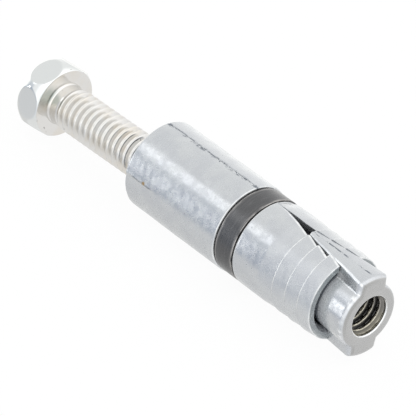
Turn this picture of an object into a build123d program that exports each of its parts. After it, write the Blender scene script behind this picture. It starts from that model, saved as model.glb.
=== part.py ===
from build123d import *
import math
import os

os.makedirs("parts", exist_ok=True)

# Expansion shield with its loose hex bolt, lying on its side. X runs from the shield's rear face
# towards the wedge nut, the two half shells meet in the XZ plane, and +Z is up.

# Half shell: one casting, used twice
barrel_diameter = 16.0
barrel_length = 22.25
barrel_edge_round = 0.35
barrel_front_chamfer = 0.3
rear_bore_diameter = 10.6
sleeve_length = 18.35
sleeve_inset = 0.15
sleeve_shoulder_round = 0.5
sleeve_straight_length = 6.15
barb_count = 3
barb_pitch = 2.97
barb_step = 0.2
barb_taper = 0.075
mouth_flare = (1.2, 0.6)

# Band round both shells
band_width = 4.0
band_thickness = 0.95
band_inset = 0.18
band_side_play = 0.3
band_radial_play = 0.5
band_edge_chamfer = 0.15

# Slots between the shells, each with a toothed edge and a plain edge
slot_start = 29.6
slot_tooth_starts = (1.42, 2.0, 2.0)
slot_tooth_ends = (2.24, 2.72, 2.7)
slot_first_width = 1.62
slot_clearance = 0.05
slot_lead_in = 4.9

# Wedge nut: a cone with two fins, their sides drafted
nut_length = 16.4
nut_overhang = 6.1
nut_front_radius = 5.9
nut_rear_radius = 4.62
nut_corner_round = 1.0
nut_turn = 2.3
cone_gap = 0.38
fin_setback = 1.2
fin_back_half_width = 0.56
fin_front_half_width = 2.8
fin_slope = 0.154
fin_draft = 6.0
fin_back_inset = 0.4
fin_front_inset = 0.5
fin_corner_round = 0.8

# Hex bolt, sagging a little in the shell's rear bore
thread_diameter = 7.8
thread_root_diameter = 6.24
thread_pitch = 1.411
thread_sides = 20
bolt_length = 69.85
tip_chamfer = 0.9
neck_diameter = 7.3
neck_length = 1.9
head_height = 5.05
head_across_flats = 12.4
head_largest_diameter = 13.74
head_rim_diameter = 12.2
head_turn = -3.0
exposed_shank = 24.75
thread_clearance = 0.05
sag_pivot = 44.0
sag_angle = 1.55

# Stations along X
groove_start = barrel_length
groove_width = band_width + 2 * band_side_play
sleeve_start = groove_start + groove_width
shell_length = sleeve_start + sleeve_length
sleeve_straight_end = sleeve_start + sleeve_straight_length
first_barb = shell_length - barb_count * barb_pitch
nut_front = shell_length + nut_overhang
nut_rear = nut_front - nut_length
fin_back = nut_rear + fin_setback

barrel_radius = barrel_diameter / 2
rear_bore_radius = rear_bore_diameter / 2
sleeve_rear_radius = barrel_radius - sleeve_inset
fin_back_radius = barrel_radius - fin_back_inset
fin_front_radius = barrel_radius - fin_front_inset
band_outer_radius = barrel_radius - band_inset
groove_radius = band_outer_radius - band_thickness - band_radial_play

# The shell's cavity runs beside the nut's cone, one gap away, until it meets the rear bore
cone_slope = (nut_front_radius - nut_rear_radius) / nut_length
cavity_front_radius = nut_rear_radius + cone_slope * (shell_length - nut_rear) + cone_gap
cavity_start = shell_length - (cavity_front_radius - rear_bore_radius) / cone_slope

# The fins widen from their crowns down to the shell's bore, and the plain slot edges clear them there
draft_slope = math.tan(math.radians(fin_draft))
foot_flare = draft_slope * (fin_back_radius - rear_bore_radius)

# The bolt's planes: one across the shank at the pivot of its sag, with local z towards the nut, and
# one along the shank at the head's bearing face, with local x towards the nut
sag_direction = Vector(1, 0, math.tan(math.radians(sag_angle)))
bolt_plane = Plane(origin=(sag_pivot, 0, 0), x_dir=(0, 1, 0), z_dir=sag_direction)
seat_plane = bolt_plane.offset(-(sag_pivot + exposed_shank))
length_plane = Plane(origin=seat_plane.origin, x_dir=sag_direction, z_dir=(0, -1, 0))
bolt_axis = Axis(seat_plane.origin, sag_direction)

# The nut has turned a little in its slots, and the plain slot edges follow its fins
fin_plane = Plane.XY.rotated((nut_turn, 0, 0))


def fin_half_width(x):
    """Half width of a fin at its crown."""
    return min(fin_front_half_width, fin_back_half_width + fin_slope * (x - fin_back))


def shell_outline():
    """Outer line of the shell in (x, radius), from the rear face to the front edge."""
    rear = [
        (0, barrel_radius),
        (groove_start, barrel_radius),
        (groove_start, groove_radius),
        (sleeve_start, groove_radius),
        (sleeve_start, sleeve_rear_radius),
        (sleeve_straight_end, sleeve_rear_radius),
    ]
    radius = sleeve_rear_radius - barb_taper * (first_barb - sleeve_straight_end)
    rear.append((first_barb, radius))
    for barb in range(barb_count):
        start = first_barb + barb * barb_pitch
        radius += barb_step
        rear.append((start, radius))
        radius -= barb_taper * barb_pitch
        rear.append((start + barb_pitch, radius))
    return rear


def toothed_edge():
    """Half width of the slot on the side whose edge steps at each barb."""
    edge = [(slot_start, 0), (first_barb, slot_first_width)]
    for barb, (start, end) in enumerate(zip(slot_tooth_starts, slot_tooth_ends)):
        edge.append((first_barb + barb * barb_pitch, start))
        edge.append((first_barb + (barb + 1) * barb_pitch, end))
    return edge


def plain_edge():
    """Half width of the slot on the side that lies along the fin, in the nut's turned frame."""
    clear = foot_flare + slot_clearance
    return [
        (fin_back - slot_lead_in, 0),
        (fin_back - clear, fin_back_half_width + clear),
        (shell_length, fin_half_width(shell_length) + clear),
    ]


# Half shell on the -Y side: 180 degrees of the turned form, then a slot edge cut at the top and bottom
with BuildPart() as near_half:
    with BuildSketch(Plane.XZ) as wall:
        with BuildLine():
            outline = shell_outline()
            Polyline(
                *outline,
                (shell_length, cavity_front_radius + mouth_flare[1]),
                (shell_length - mouth_flare[0], cavity_front_radius - cone_slope * mouth_flare[0]),
                (cavity_start, rear_bore_radius),
                (0, rear_bore_radius),
                close=True,
            )
        make_face()
        corners = wall.vertices()
        fillet(corners.sort_by_distance((0, 0, barrel_radius))[0], barrel_edge_round)
        chamfer(corners.sort_by_distance((groove_start, 0, barrel_radius))[0], barrel_front_chamfer)
        fillet(corners.sort_by_distance((sleeve_start, 0, sleeve_rear_radius))[0], sleeve_shoulder_round)
    revolve(axis=Axis.X, revolution_arc=180)
    cuts = (
        (Plane.XY, toothed_edge(), 2 * barrel_radius),
        (fin_plane, plain_edge(), -2 * barrel_radius),
    )
    for plane, edge, height in cuts:
        with BuildSketch(plane):
            with BuildLine():
                side = [(x, -width) for x, width in edge]
                Polyline(*side, (shell_length + 1, side[-1][1]), (shell_length + 1, 0), close=True)
            make_face()
        extrude(amount=height, mode=Mode.SUBTRACT)
near_half.part.label = "shield_half_near"
export_step(near_half.part, "parts/shield_half_near.step")

# Half shell on the +Y side: the same casting turned half a turn about the shield's axis
with BuildPart() as far_half:
    add(near_half.part.rotate(Axis.X, 180))
far_half.part.label = "shield_half_far"
export_step(far_half.part, "parts/shield_half_far.step")

# Closed band, loose in the groove so that the halves can open
with BuildPart() as retaining_band:
    with BuildSketch(Plane.YZ.offset(groove_start + band_side_play)):
        Circle(band_outer_radius)
        Circle(band_outer_radius - band_thickness, mode=Mode.SUBTRACT)
    extrude(amount=band_width)
    chamfer(retaining_band.edges().filter_by(GeomType.CIRCLE), band_edge_chamfer)
retaining_band.part.label = "retaining_band"
export_step(retaining_band.part, "parts/retaining_band.step")

# Wedge nut: both fins in one drafted prism, trimmed to the turned envelope, joined to the turned core
with BuildPart() as wedge_nut:
    for height in (-barrel_radius, 0, barrel_radius):
        with BuildSketch(fin_plane.offset(height)) as fins:
            with BuildLine():
                flare = draft_slope * (fin_back_radius - abs(height))
                widest = fin_back + (fin_front_half_width - fin_back_half_width) / fin_slope
                widest = min(widest, nut_front - 1.5 * fin_corner_round)
                back_half = fin_back_half_width + flare
                front_half = fin_half_width(widest) + flare
                Polyline(
                    (fin_back, -back_half),
                    (widest, -front_half),
                    (nut_front, -front_half),
                    (nut_front, front_half),
                    (widest, front_half),
                    (fin_back, back_half),
                    close=True,
                )
            make_face()
            front_corners = fins.vertices().group_by(Axis.X)[-1]
            fillet(front_corners, fin_corner_round)
    loft(ruled=True)
    with BuildSketch(Plane.XZ) as envelope:
        with BuildLine():
            Polyline(
                (fin_back, 0),
                (fin_back, fin_back_radius),
                (nut_front, fin_front_radius),
                (nut_front, 0),
                close=True,
            )
        make_face()
        fillet(envelope.vertices().sort_by_distance((nut_front, 0, fin_front_radius))[0], nut_corner_round)
    revolve(axis=Axis.X, mode=Mode.INTERSECT)
    with BuildSketch(Plane.XZ) as core:
        with BuildLine():
            Polyline(
                (nut_rear, 0),
                (nut_rear, nut_rear_radius),
                (nut_front, nut_front_radius),
                (nut_front, 0),
                close=True,
            )
        make_face()
        fillet(core.vertices().sort_by_distance((nut_front, 0, nut_front_radius))[0], nut_corner_round)
    revolve(axis=Axis.X)
    with BuildSketch(bolt_plane):
        Circle(thread_diameter / 2 + thread_clearance)
    extrude(amount=nut_length, both=True, mode=Mode.SUBTRACT)
wedge_nut.part.label = "wedge_nut"
export_step(wedge_nut.part, "parts/wedge_nut.step")

# The thread's ridges where the shank is open to view, many-sided so that their faces stay few and flat
turns_shown = math.ceil((exposed_shank - neck_length) / thread_pitch) + 1
thread_end = neck_length + turns_shown * thread_pitch
rings = []
for half_turn in range(2 * turns_shown + 1):
    radius = (thread_diameter if half_turn % 2 else thread_root_diameter) / 2
    station = neck_length + half_turn * thread_pitch / 2
    spokes = [2 * math.pi * side / thread_sides for side in range(thread_sides)]
    corners = [Vector(radius * math.cos(spoke), radius * math.sin(spoke), station) for spoke in spokes]
    rings.append([seat_plane.from_local_coords(corner) for corner in corners])
ridge_faces = [Face(Wire.make_polygon(rings[0])), Face(Wire.make_polygon(rings[-1]))]
for ring, following in zip(rings, rings[1:]):
    for side in range(thread_sides):
        ends = (ring[side - 1], ring[side], following[side], following[side - 1])
        ridge_faces.append(Face(Wire.make_polygon(ends)))
thread_ridges = Solid(Shell(ridge_faces))

# Hex bolt: a barrel-shaped blank cut to a hexagon, so that each flat is an oval, then the neck,
# the ridges, and a plain end inside the shield
with BuildPart() as hex_bolt:
    with BuildSketch(length_plane):
        with BuildLine():
            rim = head_rim_diameter / 2
            Polyline((0, rim), (0, 0), (-head_height, 0), (-head_height, rim))
            ThreePointArc((-head_height, rim), (-head_height / 2, head_largest_diameter / 2), (0, rim))
        make_face()
    revolve(axis=bolt_axis)
    with BuildSketch(seat_plane):
        RegularPolygon(head_across_flats / 2, 6, major_radius=False, rotation=30 + head_turn)
    extrude(amount=-head_height, mode=Mode.INTERSECT)
    with BuildSketch(seat_plane):
        Circle(neck_diameter / 2)
    extrude(amount=neck_length)
    add(thread_ridges)
    with BuildSketch(seat_plane.offset(thread_end)):
        Circle(thread_diameter / 2)
    extrude(amount=bolt_length - thread_end)
    chamfer(hex_bolt.edges().filter_by(GeomType.CIRCLE).sort_by(Axis.X)[-1], tip_chamfer)
hex_bolt.part.label = "hex_bolt"
export_step(hex_bolt.part, "parts/hex_bolt.step")
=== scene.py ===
import math

import bpy
import numpy as np
from mathutils import Matrix


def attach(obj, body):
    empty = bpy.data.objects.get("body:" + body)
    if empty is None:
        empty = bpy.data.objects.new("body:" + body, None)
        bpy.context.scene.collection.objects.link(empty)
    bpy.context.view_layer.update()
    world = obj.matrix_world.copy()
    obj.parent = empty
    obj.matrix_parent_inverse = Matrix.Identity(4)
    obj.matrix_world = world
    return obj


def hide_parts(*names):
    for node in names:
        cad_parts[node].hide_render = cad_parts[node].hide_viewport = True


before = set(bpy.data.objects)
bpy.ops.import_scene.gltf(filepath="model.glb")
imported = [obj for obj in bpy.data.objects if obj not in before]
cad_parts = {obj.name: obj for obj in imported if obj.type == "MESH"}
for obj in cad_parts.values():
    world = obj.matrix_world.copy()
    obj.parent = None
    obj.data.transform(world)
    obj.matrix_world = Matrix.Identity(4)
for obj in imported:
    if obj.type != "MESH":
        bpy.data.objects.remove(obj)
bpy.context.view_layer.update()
print("frame loaded:", sorted(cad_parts))


# curves and grids, all in millimetres

def easedLine(knots, step=0.25, turns=4):
    # line through (a, b, round) knots: each corner is a parabola between two points that lie
    # "round" away from it, and straight parts get points at most one step apart
    corners = np.array([k[:2] for k in knots], float)
    line = [corners[:1]]
    for i in range(1, len(knots)):
        start, end = line[-1][-1], corners[i]
        eased = i < len(knots) - 1 and knots[i][2] > 0
        if eased:
            back, ahead = corners[i] - corners[i - 1], corners[i + 1] - corners[i]
            backLength, aheadLength = np.linalg.norm(back), np.linalg.norm(ahead)
            cut = min(knots[i][2], 0.48 * backLength, 0.48 * aheadLength)
            end = corners[i] - back / backLength * cut
            out = corners[i] + ahead / aheadLength * cut
        count = max(1, math.ceil(np.linalg.norm(end - start) / step))
        line.append(start + (end - start) * np.arange(1, count + 1)[:, None] / count)
        if eased:
            line.append(parabola(end, corners[i], out, np.linspace(0, 1, turns + 1)[1:]))
    return np.vstack(line)


def parabola(start, corner, end, share):
    # leaves start towards the corner and arrives at end from it
    t = share[:, None]
    return (1 - t) ** 2 * start + 2 * t * (1 - t) * corner + t * t * end


def waves(u, v, seed, shortest, longest, count=14):
    # sum of sines in random directions, wavelengths between shortest and longest, about -1 to 1
    rng = np.random.default_rng(seed)
    total = np.zeros(np.broadcast(u, v).shape)
    for _ in range(count):
        length = shortest * (longest / shortest) ** rng.random()
        turn, phase = rng.random(2) * 2 * math.pi
        total += np.sin(2 * math.pi * (u * math.cos(turn) + v * math.sin(turn)) / length + phase)
    return total / math.sqrt(count) / 1.4


def smoothStep(x, low, high):  # 0 at low, 1 at high, smooth between
    t = np.clip((x - low) / (high - low), 0, 1)
    return t * t * (3 - 2 * t)


def brightLine(x, place, width, power=2):  # 1 at the place, and falls away on both sides of it
    return np.exp(-((x - place) / width) ** power)


def layGrid(name, points, closeEnds=False, poles=(), faces=(), sharp=38, rub=None):
    # each row of points is a closed loop, and quads join the rows; the last row meets the first,
    # or fans close both ends at poles, or the faces do; the last argument tells for each point how
    # bright its edge is painted, from 0 to 1, as wear and as painted highlight
    rows, columns = points.shape[:2]
    index = np.arange(rows * columns).reshape(rows, columns)
    down = np.vstack([index, index[:1]]) if closeEnds else index
    grid = np.hstack([down, down[:, :1]])
    quads = np.stack([grid[:-1, :-1], grid[:-1, 1:], grid[1:, 1:], grid[1:, :-1]], -1).reshape(-1, 4)
    verts = points.reshape(-1, 3)
    cells = quads.tolist() + list(faces)
    tris = [quads[:, :3], quads[:, [0, 2, 3]]]
    tris += [[[face[0], face[k], face[k + 1]] for k in range(1, len(face) - 1)] for face in faces]
    for pole, row, order in zip(poles, (grid[0], grid[-1]), (-1, 1)):
        tip = np.full(columns, len(verts))
        verts = np.vstack([verts, pole])
        fan = np.stack([row[:-1], row[1:], tip], -1)[:, ::order]
        cells += fan.tolist()
        tris.append(fan)
    tris = np.vstack(tris)
    a, b, c = (verts[tris[:, k]] for k in range(3))
    if np.einsum("ij,ij->i", a, np.cross(b, c)).sum() < 0:  # the faces point inwards
        cells = [cell[::-1] for cell in cells]
    mesh = bpy.data.meshes.new(name)
    mesh.from_pydata((verts / 1000).tolist(), [], cells)
    mesh.polygons.foreach_set("use_smooth", np.ones(len(cells), bool))
    mesh.set_sharp_from_angle(angle=math.radians(sharp))
    # the edges' brightness: partly wear, partly painted highlight
    if rub is not None:
        worn = np.zeros(len(verts))
        worn[:rub.size] = rub.ravel()
        mesh.attributes.new("rub", "FLOAT", "POINT").data.foreach_set("value", worn)
    mesh.update()
    piece = bpy.data.objects.new(name, mesh)
    bpy.context.scene.collection.objects.link(piece)
    print(f"{name}: {len(tris)} triangles")
    return piece


# shader nodes

def rgba(colour):
    return (*colour, 1)


class Wire:  # a socket that can be added, multiplied and so on
    def __init__(self, board, socket):
        self.board = board
        self.socket = socket

    def maths(self, operation, first, second=None):
        values = {0: first} if second is None else {0: first, 1: second}
        return self.board.node("Math", {"operation": operation}, values)

    def __add__(self, other):
        return self.maths("ADD", self, other)

    def __sub__(self, other):
        return self.maths("SUBTRACT", self, other)

    def __rsub__(self, other):
        return self.maths("SUBTRACT", other, self)

    def __mul__(self, other):
        return self.maths("MULTIPLY", self, other)

    def __truediv__(self, other):
        return self.maths("DIVIDE", self, other)

    def __pow__(self, other):
        return self.maths("POWER", self, other)

    def __abs__(self):
        return self.maths("ABSOLUTE", self)

    __radd__ = __add__
    __rmul__ = __mul__


class Board:  # the nodes of one material or of the world
    def __init__(self, tree):
        self.tree = tree
        self.tree.nodes.clear()

    def node(self, kind, settings=None, values=None, out=0):
        made = self.tree.nodes.new("ShaderNode" + kind)
        for name, value in (settings or {}).items():
            if name == "stops":
                ramp = made.color_ramp
                while len(ramp.elements) < len(value):
                    ramp.elements.new(1.0)
                for stop, (place, colour) in zip(ramp.elements, value):
                    stop.position = place
                    stop.color = rgba(colour)
            else:
                setattr(made, name, value)
        for name, value in (values or {}).items():
            if isinstance(value, Wire):
                self.tree.links.new(value.socket, made.inputs[name])
            else:
                made.inputs[name].default_value = value
        return Wire(self, made.outputs[out]) if len(made.outputs) else None

    def rise(self, x, low, high):  # 0 at low, 1 at high, smooth between
        return self.node("MapRange", {"interpolation_type": "SMOOTHSTEP"},
                         {"Value": x, "From Min": low, "From Max": high})

    def blend(self, factor, first, second):
        return self.node("Mix", {"data_type": "RGBA"}, {0: factor, 6: first, 7: second}, 2)

    def speckle(self, place, seed, scale, detail, rough):
        return self.node("TexNoise", {"noise_dimensions": "4D"},
                         {"Vector": place, "W": seed, "Scale": scale, "Detail": detail, "Roughness": rough})

    def distance(self, place, spot):
        return self.node("VectorMath", {"operation": "DISTANCE"}, {0: place, 1: spot}, 1)

    def rub(self):  # how bright the edge is painted, as wear and as painted highlight, as layGrid stored it
        return self.node("Attribute", {"attribute_name": "rub"}, out=2)


def newMaterial(name):
    material = bpy.data.materials.new(name)
    material.use_nodes = True
    return material, Board(material.node_tree)


def objectPlace(board, stretch=(1, 1, 1)):
    # object coordinates in millimetres, each axis multiplied by its stretch
    place = board.node("TexCoord", out=3)
    scale = tuple(1000 * s for s in stretch)
    return board.node("VectorMath", {"operation": "MULTIPLY"}, {0: place, 1: scale})


def threeWays(board, place):
    split = board.node("SeparateXYZ", None, {0: place})
    return [Wire(board, split.socket.node.outputs[k]) for k in range(3)]


def roughness(look, share):  # from the look's shine, at 0, to its matt, at 1
    return look["shine"] + (look["matt"] - look["shine"]) * share


def finishMetal(board, look, metallic, colour, rough, height):
    normal = board.node("Bump", None, {
        "Strength": look["grain"], "Distance": look["relief"], "Height": height})
    shader = board.node("BsdfPrincipled", None, {
        "Base Color": colour, "Roughness": rough, "Normal": normal, "Metallic": metallic})
    board.node("OutputMaterial", None, {"Surface": shader})


# the thread that the nut and the bolt share, and the sagging axis that it runs on

thread = dict(
    pitch=1.411, crest=3.9, root=3.12, nutCrest=3.30, nutRoot=3.98, start=0.294,
    pivot=44.0, sag=1.55,  # where the bolt's axis crosses the shield's, and by how many degrees
    seat=-68.75,  # the head's bearing face, along the bolt's axis from that point
)
sag = math.radians(thread["sag"])
axisOut = np.array([math.cos(sag), 0, math.sin(sag)])
axisUp = np.array([-math.sin(sag), 0, math.cos(sag)])
axisSide = np.array([0, 1, 0])


def onAxis(offset):  # the point at an offset along the bolt's own axis
    return np.array([thread["pivot"], 0, 0]) + offset * axisOut


def alongBolt(offset, radius, turn):
    # offset along the bolt's own axis, then radius times the cosine of the turn sideways and
    # radius times its sine upwards
    around = (radius * np.cos(turn))[..., None] * axisSide + (radius * np.sin(turn))[..., None] * axisUp
    return onAxis(offset[..., None]) + around


def threadForm(offset, turn):
    # 0 at the bottom of the bolt's thread and 1 on its crest: the flanks are nearly straight, the
    # crest is about an eighth of the pitch wide and the root is rounded; the hand is right
    phase = (offset / thread["pitch"] - turn / (2 * math.pi) + thread["start"]) % 1.0
    away = np.abs(phase - 0.5) * 2  # 0 in the root's middle, 1 in the crest's middle
    return smoothStep(away, 0.10, 0.90) * 0.35 + np.clip((away - 0.14) / 0.70, 0, 1) * 0.65


def fromBoltAxis(x, y, z):  # height over the bolt's axis and distance from it, for a shader
    over = z - (x - thread["pivot"]) * math.tan(sag)
    return over, (y * y + over * over) ** 0.5


# the zinc casting that shells and nut share

castLook = dict(
    pale=(0.645, 0.66, 0.67),
    dull=(0.60, 0.615, 0.635),
    # the pit colour also paints shade inside the shells' cavity and on the nut's core at the mouth
    pit=(0.20, 0.22, 0.25),
    # the pale edge colour, partly worn metal and partly painted highlight
    rubbedAndHighlit=(0.93, 0.94, 0.94),
    metallic=0.85,
    wallMetallic=0.45,  # inside the mouth and the slots, where the skin is dull
    shine=0.20,  # roughness where the skin is smooth
    matt=0.31,
    seamMatt=0.10,  # added along the parting line
    # noises: how fine they are per millimetre, their detail, and how rough they are
    cloudNoise=(0.35, 3.0, 0.55), cloudFrom=(0.38, 0.66),
    unevenNoise=(1.1, 2.0, 0.5), unevenFrom=(0.36, 0.66),
    grainNoise=(5.0, 3.0, 0.6),
    pitNoise=(2.4, 1.0, 0.4), pitsFrom=(0.78, 0.81),
    flashNoise=(1.0, 3.0, 0.7), flashStretch=(1.0, 1.7, 0.3),
    wearAndHighlightFrom=(0.40, 0.62),
    bump=dict(cloud=0.30, uneven=0.10, grain=0.02, pits=-0.4, marks=-1.6, seam=0.5),
    grain=0.5,
    relief=0.00006,  # metres that the bump's height of 1 stands for
)


def castMetal(name, seed, seam, dress):
    # satin die-cast skin: cloudy shine, a shallow unevenness, a few pits and a ragged parting line,
    # for which seam gives its y, how far it wanders, the radius from which and the x up to which it
    # shows, and the noise from which and the depth to which it is chipped; then dress changes what
    # is special to the piece
    look, bump = castLook, castLook["bump"]
    material, board = newMaterial(name)
    place = objectPlace(board)
    x, y, z = threeWays(board, place)
    radius = (y * y + z * z) ** 0.5
    cloud = board.speckle(place, seed, *look["cloudNoise"])
    uneven = board.speckle(place, seed + 3, *look["unevenNoise"])
    grain = board.speckle(place, seed + 5, *look["grainNoise"])
    pits = board.rise(board.speckle(place, seed + 8, *look["pitNoise"]), *look["pitsFrom"])
    flash = board.speckle(objectPlace(board, look["flashStretch"]), seed + 11, *look["flashNoise"])
    offSeam = abs(y - seam["side"] + (flash - 0.5) * seam["reach"])
    nearSeam = 1 - board.rise(offSeam, 0.06, seam["reach"])
    nearSeam = nearSeam * board.rise(radius, seam["above"], seam["above"] + 0.2)
    nearSeam = nearSeam * (1 - board.rise(x, seam["until"], seam["until"] + 3.0))
    marks = nearSeam * board.rise(flash, seam["marks"], seam["marks"] + 0.07) * seam["depth"]
    colour = board.blend(board.rise(cloud, *look["cloudFrom"]), rgba(look["dull"]), rgba(look["pale"]))
    colour = board.blend(board.rise(pits + marks, 0.0, 1.0), colour, rgba(look["pit"]))
    # edges painted pale in patches: partly wear, partly painted highlight
    rubbedAndHighlit = board.rub() * (0.55 + 0.9 * board.rise(uneven, *look["wearAndHighlightFrom"]))
    cast = dict(
        place=place, x=x, y=y, z=z, radius=radius, grain=grain, flash=flash,
        colour=board.blend(rubbedAndHighlit, colour, rgba(look["rubbedAndHighlit"])),
        rough=roughness(look, board.rise(uneven, *look["unevenFrom"])) + look["seamMatt"] * nearSeam,
        height=bump["cloud"] * cloud + bump["uneven"] * uneven + bump["grain"] * grain
        + bump["pits"] * pits + bump["marks"] * marks + bump["seam"] * nearSeam,
    )
    dress(board, cast)  # this also sets the skin: 1 where it shines as metal, 0 where it is dull
    metallic = look["wallMetallic"] + (look["metallic"] - look["wallMetallic"]) * cast["skin"]
    finishMetal(board, look, metallic, cast["colour"], cast["rough"], cast["height"])
    return material


# half shells: one casting, the second is the first turned half a turn about X

fin = dict(back=36.1, backHalf=0.56, slope=0.154, turn=2.3, draft=0.105)  # the slots follow the fins

shell = dict(
    barrelRadius=8.0, barrelLength=22.32, rearDrop=0.42, rearRound=0.4, frontChamfer=0.24, rearBore=5.3,
    grooveWidth=4.46, grooveRadius=6.37, grooveRound=0.1,
    sleeveRadius=7.85, taperStart=33.0, taperRound=0.15, sleeveTaper=0.075, shoulderRound=0.45,
    barbStart=36.29, barbPitch=2.97, barbStep=0.2, barbTaper=0.075, barbBevel=(0.25, 0.12),
    stepLean=0.02,  # how far a step's wall leans, so that it keeps two edges
    barbEnd=0.03, length=45.2, frontDrop=0.25, frontRound=0.14,
    cavityFront=5.80, cavityStart=38.7, coneSlope=0.078, mouthDepth=1.2, mouthFlare=0.6,
    slotStart=29.6, slotFirst=1.62, toothStarts=(1.42, 2.0, 2.0), toothEnds=(2.24, 2.72, 2.7),
    slotClearance=0.02, slotLeadIn=4.9, slotFade=1.5,
    seamGap=0.018, raggedGap=1.2, edgeRound=0.10, raggedEdge=0.9, raggedEnd=(21.0, 22.4),
    toothBevel=(0.34, 0.13), plainRound=0.012, aboveGroove=(7.0, 7.2),
    wallColumns=4, cornerColumns=4, plainColumns=5, arcColumns=120, step=0.24,
)
shell["grooveEnd"] = shell["barrelLength"] + shell["grooveWidth"]
shell["barbs"] = [shell["barbStart"] + barb * shell["barbPitch"] for barb in range(3)]

castSurface = dict(
    slowWaves=0.014, quickWaves=0.006,
    barrelFade=(21.0, 22.2),  # along x
    standing=(7.0, 7.3),  # the groove, which lies lower, stays smooth
    gateEnd=(4.5, 7.5), gateNear=(1.49, 1.56), gateFar=(2.0, 2.6),  # along x, and as angles from the top
    gateDepth=0.20, ridgeAngle=1.475, ridgeWidth=0.15, ridgeHeight=0.05, ridgeEnd=(5.0, 7.0),
    sunkAngle=(0.75, 0.35),  # up from the bottom
    sunkStart=(26.8, 26.85), sunkEnd=(27.0, 29.5), sunkDepth=0.38,
)

# painted shade inside the shells' cavity and on their front rim face, beside a real crack and a brown spot
shellWearAndShade = dict(
    cavity=(6.4, 7.2), mouth=(-2.2, -1.2),  # radius, and along x from the front edge
    rimFaceShade=(0.27, 0.30, 0.31), rimDepth=(-0.07, -0.03), rimRadius=(7.30, 7.42), rimLower=(1.0, 4.5),
    crackStart=(1.3, 2.0), crackEnd=(5.8, 6.8), crackSide=(7.0, 7.2), crackUp=0.62, crackWidth=(0.06, 0.19),
    crackBreaks=(0.40, 0.52),
    brownSpot=(0.42, 0.27, 0.10), spotPlace=(4.45, -7.93, 0.78), spotSize=(0.22, 0.42),
)


def shellOutline():
    # outer radius along x: barrel, groove for the band, sleeve, and barbs that step up and taper down
    s = shell
    taperEnd = s["sleeveRadius"] - s["sleeveTaper"] * (s["barbStart"] - s["taperStart"])
    knots = [
        (0, s["barrelRadius"] - s["rearDrop"], 0),
        (0, s["barrelRadius"], s["rearRound"]),
        (s["barrelLength"], s["barrelRadius"], s["frontChamfer"]),
        (s["barrelLength"] + s["stepLean"], s["grooveRadius"], s["grooveRound"]),
        (s["grooveEnd"] - s["stepLean"], s["grooveRadius"], s["grooveRound"]),
        (s["grooveEnd"], s["sleeveRadius"], s["shoulderRound"]),
        (s["taperStart"], s["sleeveRadius"], s["taperRound"]),
        (s["barbStart"] - s["barbEnd"], taperEnd, s["barbEnd"]),
    ]
    radius = taperEnd
    bevelLong, bevelLow = s["barbBevel"]
    for start in s["barbs"]:
        radius += s["barbStep"]
        knots.append((start + s["stepLean"], radius - bevelLow, s["stepLean"]))
        knots.append((start + s["stepLean"] + bevelLong, radius, 2 * s["barbEnd"]))
        radius -= s["barbTaper"] * s["barbPitch"]
        knots.append((start + s["barbPitch"] - s["barbEnd"], radius, s["barbEnd"]))
    knots[-1] = (s["length"], radius, s["frontRound"])
    knots.append((s["length"], radius - s["frontDrop"], 0))
    return easedLine(knots, s["step"])


def toothedEdge(x):
    # half width of the slot on the side where it steps out at each barb
    s = shell
    xs = [s["slotStart"], s["barbStart"] - s["stepLean"]]
    widths = [0, s["slotFirst"]]
    for start, toothStart, toothEnd in zip(s["barbs"], s["toothStarts"], s["toothEnds"]):
        xs += [start + s["stepLean"], start + s["barbPitch"] - s["stepLean"]]
        widths += [toothStart, toothEnd]
    return np.interp(x, xs, widths)


def plainEdge(x):
    # half width of the slot on the side that lies along the fin, one clearance away
    s = shell
    xs = [fin["back"] - s["slotLeadIn"], fin["back"] - s["slotClearance"], s["length"]]
    front = fin["backHalf"] + fin["slope"] * (s["length"] - fin["back"])
    return np.interp(x, xs, [0, fin["backHalf"] + s["slotClearance"], front + s["slotClearance"]])


def slotted(x):  # 0 where the halves meet, 1 along the slots
    return smoothStep(x, shell["slotStart"] - shell["slotFade"], shell["slotStart"])


def castSkin(x, angle, outer, seed):
    # small changes of the outer radius: slow waviness, the scuffed gate area at the rear, and the
    # sunken shoulder beside the plain edge
    c = castSurface
    around = angle * shell["barrelRadius"]
    skin = c["slowWaves"] * waves(x, around, seed, 4.0, 14.0)
    skin = skin + c["quickWaves"] * waves(x, around, seed + 1, 1.2, 3.0)
    onBarrel = 1 - smoothStep(x, *c["barrelFade"])
    scuff = (1 - smoothStep(x, *c["gateEnd"])) * smoothStep(angle, *c["gateNear"])
    skin = skin - c["gateDepth"] * scuff * (1 - smoothStep(angle, *c["gateFar"])) * onBarrel
    ridge = brightLine(angle, c["ridgeAngle"], c["ridgeWidth"] / shell["barrelRadius"])
    skin = skin + c["ridgeHeight"] * ridge * (1 - smoothStep(x, *c["ridgeEnd"])) * onBarrel
    sunk = smoothStep(angle, *[math.pi - fromBottom for fromBottom in c["sunkAngle"]])
    sunk = sunk * smoothStep(x, *c["sunkStart"]) * (1 - smoothStep(x, *c["sunkEnd"]))
    return (skin - c["sunkDepth"] * sunk) * smoothStep(outer, *c["standing"])


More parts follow.
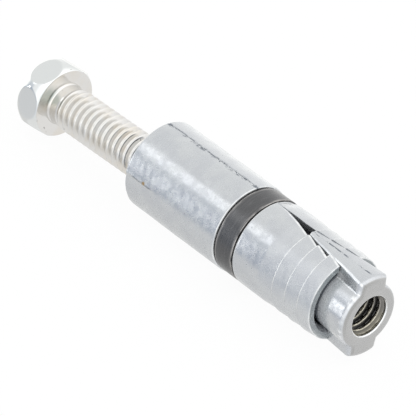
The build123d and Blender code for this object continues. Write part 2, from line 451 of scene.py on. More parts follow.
def halfShell(seed):
    # each row is a closed loop round the wall's section at one x: up the toothed edge, round its
    # corner, down the outer arc, round the plain edge, in along it, and back along the bore
    s = shell
    line = shellOutline()
    x, outer = line[:, 0], line[:, 1]
    neck = s["cavityFront"] - s["mouthDepth"] * s["coneSlope"]
    inner = np.interp(x, [0, s["cavityStart"], s["length"] - s["mouthDepth"], s["length"]],
                      [s["rearBore"], s["rearBore"], neck, s["cavityFront"] + s["mouthFlare"]])
    ragged = 0.5 + 0.5 * waves(x, 0 * x, seed, 0.5, 3.0)
    onBarrel = 1 - smoothStep(x, *s["raggedEnd"])
    seamRound = s["edgeRound"] * (1 + s["raggedEdge"] * onBarrel * ragged)
    topWide, topDeep = (seamRound + (size - seamRound) * slotted(x) for size in s["toothBevel"])
    lowRound = seamRound + (s["plainRound"] - seamRound) * slotted(x)
    gap = s["seamGap"] * (1 + s["raggedGap"] * onBarrel * ragged)
    topWidth = np.maximum(toothedEdge(x), gap)
    lowWidth = np.maximum(plainEdge(x), gap)
    besideFin = smoothStep(plainEdge(x), 0.0, 0.3)
    turn = math.radians(fin["turn"]) * besideFin
    draft = fin["draft"] * besideFin
    loops = []

    def angleAt(width, radius):
        return np.arcsin(np.clip(width / radius, 0, 0.99))

    def put(angle, radius):
        loops.append(np.stack([x, -radius * np.sin(angle), radius * np.cos(angle)], -1))

    def lowAngle(width, radius):  # the plain edge keeps clear of the fin's drafted side
        return math.pi - angleAt(width + draft * (outer - radius), radius) + turn

    wall = np.linspace(0.02, 1, s["wallColumns"])
    for t in wall:
        radius = inner + (outer - topDeep - inner) * t
        put(angleAt(topWidth, radius), radius)
    for t in np.linspace(0, 1, s["cornerColumns"] + 1)[1:]:
        radius = outer - topDeep * (1 - t)
        put(angleAt(topWidth + topWide * t, radius), radius)
    firstAngle = angleAt(topWidth + topWide, outer)
    lastAngle = lowAngle(lowWidth + lowRound, outer)
    arcStart = len(loops)
    for t in np.linspace(0, 1, s["arcColumns"])[1:-1]:
        angle = firstAngle + (lastAngle - firstAngle) * t
        put(angle, outer + castSkin(x, angle, outer, seed))
    arcEnd = len(loops)
    for t in np.linspace(math.pi / 2, 0, s["plainColumns"]):
        radius = outer - lowRound + lowRound * math.sin(t)
        put(lowAngle(lowWidth + lowRound * (1 - math.cos(t)), radius), radius)
    for t in wall[::-1]:
        radius = inner + (outer - lowRound - inner) * t
        put(lowAngle(lowWidth, radius), radius)
    innerFirst = angleAt(topWidth, inner)
    innerLast = lowAngle(lowWidth, inner)
    for t in np.linspace(1, 0, s["arcColumns"])[1:-1]:
        put(innerFirst + (innerLast - innerFirst) * t, inner)
    points = np.stack(loops, 1)
    size = points.shape[:2]
    return points, endFaces(*size, arcStart, arcEnd), shellWearAndHighlight(size, x, outer, arcStart, arcEnd, seed)


def shellWearAndHighlight(size, x, outer, arcStart, arcEnd, seed):
    # edges painted bright in patches, partly worn by handling and partly painted highlight: both sides
    # of the groove, the front edge and the barbs' bevels; and along the slot the toothed edge's corner
    s = shell
    bright = 0.8 * brightLine(x, s["barrelLength"] - 0.10, 0.10) + brightLine(x, s["length"] - 0.02, 0.08)
    bright = bright + 0.6 * brightLine(x, s["grooveEnd"] + 0.12, 0.12)
    for start in s["barbs"]:
        bright = bright + 0.75 * brightLine(x, start + 0.13, 0.12, 4)
    bright = bright * smoothStep(outer, *s["aboveGroove"])
    around = np.arange(arcEnd - arcStart)[None, :] * 0.21
    patchy = 0.62 + 0.38 * waves(x[:, None], around, seed + 4, 1.5, 7.0)
    rub = np.zeros(size)
    rub[:, arcStart:arcEnd] = np.clip(bright[:, None] * patchy, 0, 1)
    rub[:, arcStart - s["cornerColumns"]:arcStart] = 0.9 * slotted(x)[:, None]
    return rub


def endFaces(rows, columns, arcStart, arcEnd):
    # the flat ends: the outer and the inner arc pair one to one, and each edge wall with its corner
    # is one face
    outerArc = np.arange(arcStart, arcEnd)
    innerArc = columns - 1 - np.arange(len(outerArc))
    cells = np.stack([outerArc[:-1], outerArc[1:], innerArc[1:], innerArc[:-1]], -1).tolist()
    cells = [[*range(arcStart + 1), columns - 1], *cells, [*range(arcEnd - 1, int(innerArc[-1]) + 1)]]
    front = (rows - 1) * columns
    return [cell[::-1] for cell in cells] + [[front + k for k in cell] for cell in cells]


def dressShell(board, cast):
    # duller metal and painted shade in the cavity behind the mouth, painted shade on the rim face that is
    # deeper at the top, and at the gate's cut a crack with a brown spot
    w = shellWearAndShade
    fromFront = cast["x"] - shell["length"]
    inside = 1 - board.rise(cast["radius"], *w["cavity"])
    mouth = board.rise(fromFront, *w["mouth"])
    cast["skin"] = 1 - inside * mouth
    # painted shade: the cavity behind the mouth is darkened
    colour = board.blend(inside * (1 - mouth) * 0.75, cast["colour"], rgba(castLook["pit"]))
    # painted shade on the front rim face, deeper at the top than at the bottom
    rim = board.rise(fromFront, *w["rimDepth"]) * (1 - board.rise(cast["radius"], *w["rimRadius"]))
    lower = 1 - board.rise(cast["z"], *w["rimLower"])
    colour = board.blend(rim * (0.9 - 0.25 * lower), colour, rgba(w["rimFaceShade"]))
    along = board.rise(cast["x"], *w["crackStart"]) * (1 - board.rise(cast["x"], *w["crackEnd"]))
    along = along * board.rise(cast["y"] * -1.0, *w["crackSide"])
    offCrack = abs(cast["z"] - w["crackUp"] + (cast["flash"] - 0.5) * 0.5)
    crack = (1 - board.rise(offCrack, *w["crackWidth"])) * along
    crack = crack * board.rise(cast["grain"], *w["crackBreaks"])
    colour = board.blend(crack, colour, rgba(castLook["pit"]))
    spot = 1 - board.rise(board.distance(cast["place"], w["spotPlace"]), *w["spotSize"])
    cast["colour"] = board.blend(spot * 0.85, colour, rgba(w["brownSpot"]))


shellSeam = dict(side=-0.22, reach=0.75, above=7.2, until=24.0, marks=0.50, depth=0.95)
nearPoints, shellFaces, nearWearAndHighlight = halfShell(seed=11)
farPoints, _, farWearAndHighlight = halfShell(seed=37)
farPoints = farPoints * np.array([1, -1, -1])
shieldNear = layGrid("shieldNear", nearPoints, faces=shellFaces, rub=nearWearAndHighlight)
shieldFar = layGrid("shieldFar", farPoints, faces=shellFaces, rub=farWearAndHighlight)
shieldNear.data.materials.append(castMetal("castZincNear", 1.0, shellSeam, dressShell))
shieldFar.data.materials.append(castMetal("castZincFar", 31.0, shellSeam, dressShell))
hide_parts("shield_half_near")
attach(shieldNear, "near_half")
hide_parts("shield_half_far")
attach(shieldFar, "far_half")
print("half shells in place")


# retaining band

bandLook = dict(
    steel=(0.12, 0.12, 0.123),
    worn=(0.155, 0.155, 0.158),
    edge=(0.50, 0.48, 0.46),
    metallic=0.85,
    shine=0.25,
    matt=0.33,
    scratchNoise=(1.0, 3.0, 0.6), scratchStretch=(3.5, 0.4, 0.4), wornFrom=(0.45, 0.75), wearAndHighlightFrom=(0.35, 0.60),
    grainNoise=(5.0, 2.0, 0.5), mattFrom=(0.35, 0.7),
    grain=0.4,
    relief=0.00005,
)
band = dict(
    start=22.55, width=4.0, outerRadius=7.82, thickness=0.95, edge=0.14,
    outOfRound=0.032,  # what the wobble adds at most
    wearAndHighlightReach=0.22, columns=200,
)


def darkSteel(name):
    # dark oxide on rolled strip: fine scratches round the band, and edges painted paler, partly worn and
    # partly painted highlight
    look = bandLook
    material, board = newMaterial(name)
    scratch = board.speckle(objectPlace(board, look["scratchStretch"]), 1.0, *look["scratchNoise"])
    grain = board.speckle(objectPlace(board), 6.0, *look["grainNoise"])
    colour = board.blend(board.rise(scratch, *look["wornFrom"]), rgba(look["steel"]), rgba(look["worn"]))
    colour = board.blend(board.rub() * board.rise(scratch, *look["wearAndHighlightFrom"]), colour, rgba(look["edge"]))
    rough = roughness(look, board.rise(grain, *look["mattFrom"]))
    finishMetal(board, look, look["metallic"], colour, rough, 0.12 * scratch + 0.04 * grain)
    return material


def bandPoints():
    # a rounded rectangle carried round the axis, with the slight wobble of a closed strip
    b = band
    low, high = b["outerRadius"] - b["thickness"], b["outerRadius"]
    start, end = b["start"], b["start"] + b["width"]
    middle = start + b["width"] / 2
    knots = [(middle, high, 0), (end, high, b["edge"]), (end, low, b["edge"]), (start, low, b["edge"]),
             (start, high, b["edge"]), (middle, high, 0)]
    section = easedLine(knots, 0.4, 4)[:-1]
    x, radius = section[:, :1], section[:, 1:]
    turn = np.linspace(0, 2 * math.pi, b["columns"], endpoint=False)[None, :]
    fromEdge = b["width"] / 2 - np.abs(x - middle) + (high - radius)
    # the edges painted paler: partly wear, partly painted highlight
    rub = brightLine(fromEdge + 0 * turn, 0, b["wearAndHighlightReach"])
    wobble = 0.02 * np.sin(2 * turn + 0.6) + 0.012 * np.sin(5 * turn + 2.0)
    sideways = 0.03 * np.sin(turn + 0.4) + 0.018 * np.sin(4 * turn + 1.0)
    radius = radius + wobble - b["outOfRound"]
    return np.stack([x + sideways, radius * np.cos(turn), radius * np.sin(turn)], -1), rub


bandRing, bandWearAndHighlight = bandPoints()
retainingBand = layGrid("retainingBand", bandRing, closeEnds=True, rub=bandWearAndHighlight)
retainingBand.data.materials.append(darkSteel("darkOxideSteel"))
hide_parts("retaining_band")
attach(retainingBand, "band")
print("band in its groove")


# wedge nut

nut = dict(
    rear=34.9, front=51.3, frontRadius=5.9, rearRadius=4.62, rearEdge=0.96, cornerRound=1.0,
    finFrontHalf=2.72, finBackRadius=7.6, finFrontRadius=7.5, finCorner=0.8, footRound=0.16,
    shoulderAt=(36.1, 38.5, 43.5, 46.0), shoulder=(0.16, 0.30, 0.30, 0.12),
    toothedChamfer=0.32, plainChamfer=0.015, chamferBulge=0.03,
    mouth=3.66, mouthDepth=0.5, lip=0.16, lipLength=0.22,
    crownColumns=8, chamferColumns=6, sideColumns=5, footColumns=4, coreColumns=25,
    finRows=62, cornerRows=8, faceRings=(0.12, 0.4, 0.7, 0.9, 1.0), boreRows=170, step=0.24,
)

# bore colours are painted shade with painted light on the lower ridges; the core's dark band by the mouth is
# painted shade; the lip and the rolled front edge are partly painted highlight
nutWearAndShade = dict(
    ridge=(0.42, 0.40, 0.37), litLowerRidge=(0.72, 0.68, 0.56), groove=(0.066, 0.065, 0.063),
    lowerFrom=(-0.5, 2.0),  # down from the bolt's axis
    boreEdge=(3.70, 3.76), grooveReach=0.36, grooveEnd=(-0.80, -0.50),
    grooveSides=(3.31, 3.52), grooveFade=(-1.6, -0.7), boreMatt=0.24,
    face=(0.44, 0.435, 0.425), faceDepth=(-0.32, -0.18),  # depths go back from the front face
    lipEdge=(3.84, 3.88), lipDepth=(-0.22, -0.14), dullAbout=(4.5, 4.9),
    core=(6.2, 6.6), mouthShade=(-0.40, -0.15), dullCore=(0.3, 2.8),  # from the shells' front edge
    rolledAt=0.75, rolledWidth=0.38, rolledCore=(6.2, 6.5), streaks=(-0.05, 0.35),
)


def nutSection(x, hasFin, inset=0.0, toothed=True):
    # quarter loop from the top of a fin to the side of the core, as (across, up): the crown's arc,
    # the chamfer, the side that widens downwards by its draft, a small fillet, and the core's arc;
    # on the side of the shell's toothed edge the fin is wider by its shoulder and its chamfer is
    # broad; inset is the sine of the way round the front corner
    n = nut
    drop = 1 - math.sqrt(1 - inset * inset)
    core = np.interp(x, [n["rear"], n["front"]], [n["rearRadius"], n["frontRadius"]])
    core = core - n["cornerRound"] * drop
    count = n["crownColumns"] + n["chamferColumns"] + n["sideColumns"] + n["footColumns"] + n["coreColumns"]
    if not hasFin:
        return onArc(core, np.linspace(0, math.pi / 2, count))
    top = np.interp(x, [fin["back"], n["front"]], [n["finBackRadius"], n["finFrontRadius"]])
    top = top - n["cornerRound"] * drop
    half = min(n["finFrontHalf"], fin["backHalf"] + fin["slope"] * max(0, x - fin["back"]))
    half = half - n["finCorner"] * drop
    edge = n["plainChamfer"]
    if toothed:
        half = half + np.interp(x, n["shoulderAt"], n["shoulder"])
        edge = n["toothedChamfer"]
    across = (half - edge) * np.linspace(0, 1, n["crownColumns"] + 1)[:-1]
    crown = np.stack([across, np.sqrt(top * top - across * across)], -1)
    crownUp = math.sqrt(top * top - (half - edge) ** 2)
    share = np.array([0, 0.08, 0.2, 0.8, 0.92, 1])
    bulge = n["chamferBulge"] * (share * (1 - share) > 0)
    chamfer = np.stack([half - edge + edge * (share + bulge), crownUp - edge * (share - bulge)], -1)
    cornerUp = crownUp - edge
    foot = cornerUp
    for _ in range(8):  # closes in on the height where the side meets the core
        wide = half + fin["draft"] * (cornerUp - foot)
        foot = math.sqrt(core * core - wide * wide)
    startUp = foot + n["footRound"]
    up = np.linspace(cornerUp, startUp, n["sideColumns"] + 2)[1:-1]
    side = np.stack([half + fin["draft"] * (cornerUp - up), up], -1)
    footAngle = math.asin(min(0.99, (wide + n["footRound"]) / core))
    start = np.array([half + fin["draft"] * (cornerUp - startUp), startUp])
    end = onArc(core, np.array(footAngle))
    fillet = parabola(start, np.array([wide, foot]), end, np.linspace(0, 1, n["footColumns"]))
    rest = onArc(core, np.linspace(footAngle, math.pi / 2, n["coreColumns"] + 1)[1:])
    return np.vstack([crown, chamfer, side, fillet, rest])


def onArc(radius, angle):  # across and up, at an angle from the top
    return radius * np.stack([np.sin(angle), np.cos(angle)], -1)


def wholeLoop(x, hasFin, inset=0.0):
    # mirrors two quarter loops into the whole section: columns run from the top fin round to the
    # side, the low fin, the other side and back, toothed side and plain side in turn
    toothed = nutSection(x, hasFin, inset)
    plain = nutSection(x, hasFin, inset, False)[::-1]
    return np.vstack([toothed, plain[1:] * [1, -1], toothed[1:] * [-1, -1], plain[1:-1] * [-1, 1]])


def nutPoints():
    # sections along x, turned a little in the slots, then rings across the front face into the
    # bore, and rings down the bore whose radius follows the thread
    n = nut
    turn = math.radians(fin["turn"])
    rows = []

    def addSection(x, loop):
        y = -loop[:, 0] * math.cos(turn) - loop[:, 1] * math.sin(turn)
        z = -loop[:, 0] * math.sin(turn) + loop[:, 1] * math.cos(turn)
        rows.append(np.stack([np.full(len(loop), x), y, z], -1))

    addSection(n["rear"], wholeLoop(n["rear"], False) * n["rearEdge"])
    addSection(n["rear"] + 0.2, wholeLoop(n["rear"], False))
    for x in np.arange(n["rear"] + 0.25, fin["back"] - 0.02, n["step"]):
        addSection(x, wholeLoop(x, False))
    addSection(fin["back"] - 0.01, wholeLoop(fin["back"], False))
    addSection(fin["back"], wholeLoop(fin["back"], True) * [0.9, 1])
    roundStart = n["front"] - n["cornerRound"]
    for x in np.linspace(fin["back"] + 0.12, roundStart, n["finRows"]):
        addSection(x, wholeLoop(x, True))
    for t in np.linspace(0, math.pi / 2, n["cornerRows"] + 1)[1:]:
        x = roundStart + n["cornerRound"] * math.sin(t)
        addSection(x, wholeLoop(x, True, 0.999 * math.sin(t)))
    outline = rows[-1]
    outerRows = len(rows)
    # columns keep their angle about the bore from the outline down to the mouth
    spin = np.linspace(0, 2 * math.pi, len(outline), endpoint=False) + math.pi / 2 + turn
    face = n["front"]
    lip = n["mouth"] + n["lip"]
    mouth = np.stack([face + 0 * spin, lip * np.cos(spin), lip * np.sin(spin)], -1)
    mouth[:, 2] += (face - thread["pivot"]) * math.tan(sag)
    for t in n["faceRings"]:
        rows.append(outline + (mouth - outline) * t)
    first, last = ((x - thread["pivot"]) / math.cos(sag) for x in (face, n["rear"]))
    offset = np.linspace(first, last, n["boreRows"])[:, None] + 0 * spin
    # the nut's ridges stand in the bolt's roots and its roots clear the bolt's crests
    ridges = thread["nutCrest"] + (thread["nutRoot"] - thread["nutCrest"]) * threadForm(offset, spin)
    lead = smoothStep(first - offset, 0.15, n["mouthDepth"] + 0.5)
    tail = smoothStep(offset - last, 0.1, 1.0)
    radius = (ridges - n["mouth"]) * lead * tail + n["mouth"]
    radius = radius + n["lip"] * (1 - smoothStep(first - offset, 0, n["lipLength"]))
    bore = alongBolt(offset, radius, spin)
    bore[0, :, 0] = face - 0.01
    bore[-1, :, 0] = n["rear"]
    return np.concatenate([rows, bore]), outerRows


def nutWearAndHighlight(points, outerRows):
    # bright lines along the fin's toothed chamfer and in the corner where its side meets the core,
    # and streaks where the core's front edge rolls over: painted highlights, on the chamfer and the
    # front edge partly wear as well
    n, w = nut, nutWearAndShade
    x = points[:, :, 0]
    rub = np.zeros(x.shape)
    chamferEnd = n["crownColumns"] + n["chamferColumns"]
    footStart = chamferEnd + n["sideColumns"]
    quarter = footStart + n["footColumns"] + n["coreColumns"] - 1
    outside = np.arange(len(x)) < outerRows
    finned = (x[:, 0] > fin["back"]) & (x[:, 0] < n["front"] - 0.4) & outside
    for crown in (0, 2 * quarter):
        rub[finned, crown + chamferEnd - 3:crown + chamferEnd] = 0.8
        rub[finned, crown + footStart + 1:crown + footStart + 3] = 1.0
    rolled = 0.9 * brightLine(x, n["front"] - w["rolledAt"], w["rolledWidth"])
    onCore = 1 - smoothStep(np.hypot(points[:, :, 1], points[:, :, 2]), *w["rolledCore"])
    around = np.arange(x.shape[1])[None, :] * 0.22 + 0 * x
    streaks = smoothStep(waves(around, 0.6 * x, 5, 0.8, 3.0), *w["streaks"])
    return np.maximum(rub, rolled * onCore * streaks * outside[:, None])


def dressNut(board, cast):
    # the bore is painted with shade: grey ridges, painted lighter below the bolt's axis where light
    # falls in, and near-black grooves that pale towards the front face; its lip is painted bright,
    # partly wear and partly painted highlight; the front face is plain grey, and the core carries
    # painted shade where the shells' mouth covers it
    w = nutWearAndShade
    fromFace = cast["x"] - nut["front"]
    fromMouth = cast["x"] - shell["length"]
    over, bore = fromBoltAxis(cast["x"], cast["y"], cast["z"])
    grooves = w["grooveReach"] * (1 - board.rise(fromFace, *w["grooveEnd"]))
    inBore = 1 - board.rise(bore - grooves, *w["boreEdge"])
    # painted shade in the grooves, paler towards the front face
    grooveShadeMask = board.rise(bore, *w["grooveSides"]) * (1 - 0.55 * board.rise(fromFace, *w["grooveFade"]))
    # painted light: the ridges below the bolt's axis are lighter
    ridge = board.blend(board.rise(over * -1.0, *w["lowerFrom"]), rgba(w["ridge"]), rgba(w["litLowerRidge"]))
    colour = board.blend(inBore, cast["colour"], board.blend(grooveShadeMask, ridge, rgba(w["groove"])))
    colour = board.blend(board.rise(fromFace, *w["faceDepth"]) * 0.75, colour, rgba(w["face"]))
    # the mouth's lip painted bright: partly wear, partly painted highlight
    lip = board.rise(fromFace, *w["lipDepth"]) * (1 - board.rise(bore, *w["lipEdge"]))
    colour = board.blend(lip, colour, rgba(castLook["rubbedAndHighlit"]))
    # painted shade on the core where the shells' mouth covers it
    onCore = 1 - board.rise(cast["radius"], *w["core"])
    mouthShade = (1 - board.rise(fromMouth, *w["mouthShade"])) * onCore
    cast["colour"] = board.blend(mouthShade * 0.9, colour, rgba(castLook["pit"]))
    cast["rough"] = cast["rough"] * (1 - inBore) + w["boreMatt"] * inBore
    cast["height"] = cast["height"] * (1 - 0.9 * inBore)
    dullCore = (1 - board.rise(fromMouth, *w["dullCore"])) * onCore
    cast["skin"] = (board.rise(bore, *w["dullAbout"]) * 0.3 + 0.7 + 0.3 * inBore) * (1 - 0.9 * dullCore)


crownSeam = dict(side=-0.3, reach=0.26, above=7.0, until=60.0, marks=0.48, depth=1.0)
nutGrid, nutOuterRows = nutPoints()
wedgeNut = layGrid("wedgeNut", nutGrid, closeEnds=True, rub=nutWearAndHighlight(nutGrid, nutOuterRows))
wedgeNut.data.materials.append(castMetal("castZincNut", 61.0, crownSeam, dressNut))
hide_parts("wedge_nut")
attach(wedgeNut, "nut")
print("nut in its slots")


# hex bolt

boltLook = dict(
    plate=(0.755, 0.745, 0.725),
    warm=(0.745, 0.715, 0.665),
    cool=(0.785, 0.80, 0.79), coolFrom=(6.04, 6.14),  # the head's sides, by distance from the axis
    # a greenish patch of painted shade on the bearing face beside the thread
    seatShade=(0.36, 0.40, 0.37), seatShadePlace=(-24.79, -4.04, 0.37), seatShadeSize=(0.6, 2.6),
    seatStart=(-25.1, -24.9), seatEnd=(-24.6, -24.4),  # along x, where the painted seat shade may lie
    pit=(0.20, 0.19, 0.18),
    metallic=1.0,
    shine=0.13,
    matt=0.19,
    tintNoise=(0.25, 2.0, 0.5), warmFrom=(0.42, 0.62),
    grainNoise=(7.0, 2.0, 0.5), mattFrom=(0.35, 0.7),
    pinholeNoise=(1.7, 1.0, 0.4), pinholesFrom=(0.745, 0.77),
    grain=0.4,
    relief=0.00004,
)
bolt = dict(
    flats=12.4, largest=13.74, rim=12.2, headHeight=5.05, headTurn=3.0,
    seatHole=3.2, seatRound=0.12, topRound=0.2, topHole=0.4, edgeSoft=0.02,
    neckRadius=3.65, neckLength=2.3, neckEnd=(-0.4, 0.9), fillet=0.30, filletLength=0.5,
    length=69.85, tip=1.0, tipSlope=0.95, exposed=30.0, sunk=0.6,
    headColumns=288, shankColumns=96,
)


def zincPlate(name):
    # bright zinc plate with a faint warm tint in places, a few pinholes and a patch of painted shade on the
    # bearing face
    look = boltLook
    material, board = newMaterial(name)
    place = objectPlace(board)
    x, y, z = threeWays(board, place)
    tint = board.speckle(place, 2.0, *look["tintNoise"])
    grain = board.speckle(place, 4.0, *look["grainNoise"])
    pinholes = board.rise(board.speckle(place, 21.0, *look["pinholeNoise"]), *look["pinholesFrom"])
    colour = board.blend(board.rise(tint, *look["warmFrom"]), rgba(look["plate"]), rgba(look["warm"]))
    _, fromAxis = fromBoltAxis(x, y, z)
    colour = board.blend(board.rise(fromAxis, *look["coolFrom"]), colour, rgba(look["cool"]))
    # painted shade: the dark patch on the bearing face
    onSeat = board.rise(x, *look["seatStart"]) * (1 - board.rise(x, *look["seatEnd"]))
    fromSeatShade = board.distance(place, look["seatShadePlace"]) + (tint - 0.5) * 2.0
    patch = (1 - board.rise(fromSeatShade, *look["seatShadeSize"])) * onSeat
    colour = board.blend(patch * 0.75, colour, rgba(look["seatShade"]))
    colour = board.blend(pinholes * 0.8, colour, rgba(look["pit"]))
    rough = roughness(look, board.rise(grain, *look["mattFrom"]))
    finishMetal(board, look, look["metallic"], colour, rough, 0.2 * tint + 0.03 * grain - 0.8 * pinholes)
    return material


def boltHead():
    # the blank is a barrel, its side a circle's arc through rim, largest diameter and rim, and six
    # flats cut it: at each angle the radius is the smaller of the blank's and the flat's, with a
    # slightly softened line between them
    b = bolt
    seat, top = thread["seat"], thread["seat"] - b["headHeight"]
    rim, big, half = b["rim"] / 2, b["largest"] / 2, b["headHeight"] / 2
    bulge = ((big - rim) ** 2 + half ** 2) / (2 * (big - rim))
    side = np.linspace(-1, 1, 41)[1:-1] * half
    knots = [(seat, b["seatHole"], 0), (seat, rim, b["seatRound"])]
    knots += [(seat - half - u, big - bulge + math.sqrt(bulge ** 2 - u * u), 0) for u in side]
    knots += [(top, rim, b["topRound"]), (top, b["topHole"], 0)]
    line = easedLine(knots, 0.22, 6)
    turn = np.linspace(0, 2 * math.pi, b["headColumns"], endpoint=False)[None, :] + 0 * line[:, :1]
    offset, blank = line[:, :1] + 0 * turn, line[:, 1:]
    fromFlat = (turn + math.radians(b["headTurn"]) + math.pi / 6) % (math.pi / 3) - math.pi / 6
    flat = b["flats"] / 2 / np.cos(fromFlat)
    radius = 0.5 * (blank + flat - np.sqrt((blank - flat) ** 2 + b["edgeSoft"] ** 2))
    return alongBolt(offset, radius, turn), [onAxis(seat), onAxis(top)]


def boltShank():
    # a cylinder whose radius follows the thread, faded into a plain neck and a chamfered tip; its
    # rings stand closest where the shank is in the open
    b = bolt
    seat = thread["seat"]
    start, end = seat - b["sunk"], seat + b["length"]
    offset = np.concatenate([
        np.linspace(start, seat + 0.35, 6)[:-1],
        np.arange(seat + 0.35, seat + b["exposed"], thread["pitch"] / 16),
        np.arange(seat + b["exposed"], end - 1.5, thread["pitch"] / 10),
        np.linspace(end - 1.45, end, 20)])[:, None]
    turn = np.linspace(0, 2 * math.pi, b["shankColumns"], endpoint=False)[None, :] + 0 * offset
    offset = offset + 0 * turn
    radius = thread["root"] + (thread["crest"] - thread["root"]) * threadForm(offset, turn)
    past = offset - seat
    neck = 1 - smoothStep(past - b["neckLength"], *b["neckEnd"])
    radius = radius * (1 - neck) + b["neckRadius"] * neck
    radius = radius + b["fillet"] * (1 - smoothStep(past, 0.0, b["filletLength"]))
    radius = np.minimum(radius, thread["crest"] - (offset - (end - b["tip"])).clip(0) * b["tipSlope"])
    return alongBolt(offset, radius, turn), [onAxis(start), onAxis(end)]


zinc = zincPlate("brightZincPlate")
headPoints, headEnds = boltHead()
shankPoints, shankEnds = boltShank()
boltHeadPiece = layGrid("boltHead", headPoints, poles=headEnds, sharp=30)
boltShankPiece = layGrid("boltShank", shankPoints, poles=shankEnds, sharp=50)
for piece in (boltHeadPiece, boltShankPiece):
    piece.data.materials.append(zinc)
    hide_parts("hex_bolt")
    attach(piece, "bolt")
print("bolt in the nut")


# floor, light and camera

studio = dict(
    floorHeight=-0.0088, floorSize=4.0,  # metres, as are the key's distance, shift and size
    floorGrey=(0.9, 0.9, 0.9),
    shadowShare=0.05,  # how much of the floor's own shading the camera sees
    keyDirection=(-0.585, -0.563, 0.583), keyLong=(0, 0.72, 0.694), keyDistance=0.8, keyShift=0.012,
    keySize=(0.16, 0.26), keyPower=0.115,
)

tent = dict(
    # tones by the angle about the X axis, in degrees up from -Y: for directions that lean to the
    # rear, for those about square to the axis, and for those that lean to the front
    rear=[(-180, (1.20, 1.20, 1.19)), (-168, (1.32, 1.32, 1.30)), (-146, (0.93, 0.93, 0.92)),
          (-90, (0.77, 0.77, 0.765)), (-34, (0.81, 0.81, 0.815)), (-22, (0.41, 0.46, 0.55)),
          (10, (0.41, 0.46, 0.56)), (30, (0.74, 0.78, 0.83)), (60, (0.87, 0.88, 0.89)),
          (120, (0.95, 0.96, 0.96)), (160, (1.10, 1.10, 1.10)), (180, (1.20, 1.20, 1.19))],
    side=[(-180, (1.0, 1.0, 1.0)), (-60, (0.90, 0.90, 0.90)), (-30, (0.72, 0.75, 0.80)),
          (0, (1.0, 1.01, 1.03)), (40, (1.02, 1.03, 1.05)), (120, (0.99, 1.0, 1.0)), (180, (1.0, 1.0, 1.0))],
    front=[(-180, (1.0, 1.0, 1.0)), (-60, (0.90, 0.90, 0.90)), (-30, (0.85, 0.87, 0.90)),
           (0, (1.4, 1.42, 1.44)), (120, (1.4, 1.4, 1.4)), (180, (1.0, 1.0, 1.0))],
    sideFrom=(-0.54, -0.40), frontFrom=(-0.20, 0.10),  # by the x of the direction
    rearEnd=(1.35, 1.35, 1.33), rearEndFrom=(0.80, 0.95),
    frontEnd=(0.80, 0.80, 0.79), frontEndFrom=(0.62, 0.90),
    # the glow beside the key, by the x of the direction and by the share of a turn about X
    glow=(3.2, 3.2, 3.15), glowX=-0.690, glowWidth=(0.025, 0.055), glowTurn=0.500, glowHeight=(0.036, 0.066),
)

view = dict(
    place=(0.477145, -0.505668, 0.398181),  # metres
    across=(0.65236, 0.73756, 0.17445), ahead=(-0.58489, 0.63629, -0.50303),
    lens=419.22, sensor=36.0, clip=(0.05, 20.0),
)


def makeFloor():
    # white to the camera but for a little of its own shading, and clear to reflections
    s = studio
    half, height = s["floorSize"] / 2, s["floorHeight"]
    corners = [(-half, -half, height), (half, -half, height), (half, half, height), (-half, half, height)]
    mesh = bpy.data.meshes.new("paleFloor")
    mesh.from_pydata(corners, [], [(0, 1, 2, 3)])
    floor = bpy.data.objects.new("paleFloor", mesh)
    bpy.context.scene.collection.objects.link(floor)
    material, board = newMaterial("paleFloor")
    path = board.node("LightPath")
    isCamera = Wire(board, path.socket.node.outputs["Is Camera Ray"])
    isGlossy = Wire(board, path.socket.node.outputs["Is Glossy Ray"])
    plain = board.node("BsdfDiffuse", None, {"Color": rgba(s["floorGrey"])})
    white = board.node("Emission", None, {"Color": (1, 1, 1, 1), "Strength": 1.0})
    clear = board.node("BsdfTransparent")
    shown = board.node("MixShader", None, {0: isCamera * (1 - s["shadowShare"]), 1: plain, 2: white})
    surface = board.node("MixShader", None, {0: isGlossy, 1: shown, 2: clear})
    board.node("OutputMaterial", None, {"Surface": surface})
    mesh.materials.append(material)


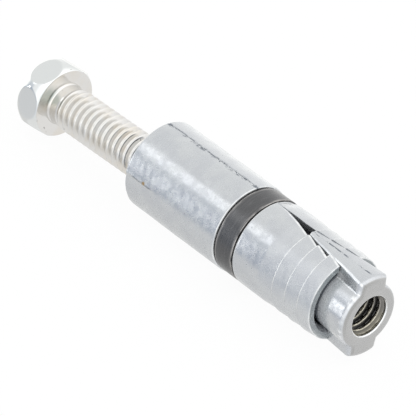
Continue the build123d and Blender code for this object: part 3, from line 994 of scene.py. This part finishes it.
def makeWorld():
    # a pale tent whose brightness follows the angle about the X axis, and changes towards its ends
    world = bpy.data.worlds.new("paleTent")
    bpy.context.scene.world = world
    world.use_nodes = True
    board = Board(world.node_tree)
    x, y, z = threeWays(board, board.node("TexCoord"))
    angle = board.node("Math", {"operation": "ARCTAN2"}, {0: z, 1: y * -1.0}) / (2 * math.pi) + 0.5

    def tones(name):
        stops = [((degrees + 180) / 360, colour) for degrees, colour in tent[name]]
        return board.node("ValToRGB", {"stops": stops}, {0: angle})

    tone = board.blend(board.rise(x, *tent["sideFrom"]), tones("rear"), tones("side"))
    tone = board.blend(board.rise(x, *tent["frontFrom"]), tone, tones("front"))
    tone = board.blend(board.rise(x * -1.0, *tent["rearEndFrom"]), tone, rgba(tent["rearEnd"]))
    tone = board.blend(board.rise(x, *tent["frontEndFrom"]), tone, rgba(tent["frontEnd"]))
    besideKey = 1 - board.rise(abs(x - tent["glowX"]), *tent["glowWidth"])
    besideKey = besideKey * (1 - board.rise(abs(angle - tent["glowTurn"]), *tent["glowHeight"]))
    tone = board.blend(besideKey, tone, rgba(tent["glow"]))
    shown = board.blend(board.node("LightPath"), tone, (1, 1, 1, 1))  # white to the camera
    light = board.node("Background", None, {"Color": shown, "Strength": 1.0})
    board.node("OutputWorld", None, {"Surface": light})


def squareTo(axis, long):  # long without its share along the axis, at a length of 1
    rest = np.array(long) - axis * np.dot(long, axis)
    return rest / np.linalg.norm(rest)


def turned(across, up, back, place):
    # the matrix that lays an object's own X, Y and Z along three directions, at a place
    spin = np.eye(4)
    spin[:3, :3] = np.stack([across, up, back], -1)
    spin[:3, 3] = place
    return Matrix(spin.tolist())


def makeKey():
    # a softbox that looks at the shield, its long side as near to the given direction as it can be
    s = studio
    out = np.array(s["keyDirection"]) / np.linalg.norm(s["keyDirection"])
    long = squareTo(out, s["keyLong"])
    lamp = bpy.data.lights.new("keySoftbox", "AREA")
    lamp.shape = "RECTANGLE"
    lamp.size, lamp.size_y = s["keySize"]
    lamp.energy = s["keyPower"]
    box = bpy.data.objects.new("keySoftbox", lamp)
    bpy.context.scene.collection.objects.link(box)
    place = out * s["keyDistance"] + np.array([s["keyShift"], 0, 0])
    box.matrix_world = turned(np.cross(long, out), long, out, place)


def makeCamera():
    # the photo's view, found from the round edges of the barrel, the band, the bore and the head
    data = bpy.data.cameras.new("photoView")
    data.sensor_width = view["sensor"]
    data.lens = view["lens"]
    data.clip_start, data.clip_end = view["clip"]
    camera = bpy.data.objects.new("photoView", data)
    bpy.context.scene.collection.objects.link(camera)
    ahead = np.array(view["ahead"]) / np.linalg.norm(view["ahead"])
    across = squareTo(ahead, view["across"])
    camera.matrix_world = turned(across, np.cross(across, ahead), -ahead, view["place"])
    bpy.context.scene.camera = camera


makeFloor()
makeWorld()
makeKey()
makeCamera()
bpy.context.scene.view_settings.view_transform = "Standard"
print("stage set")
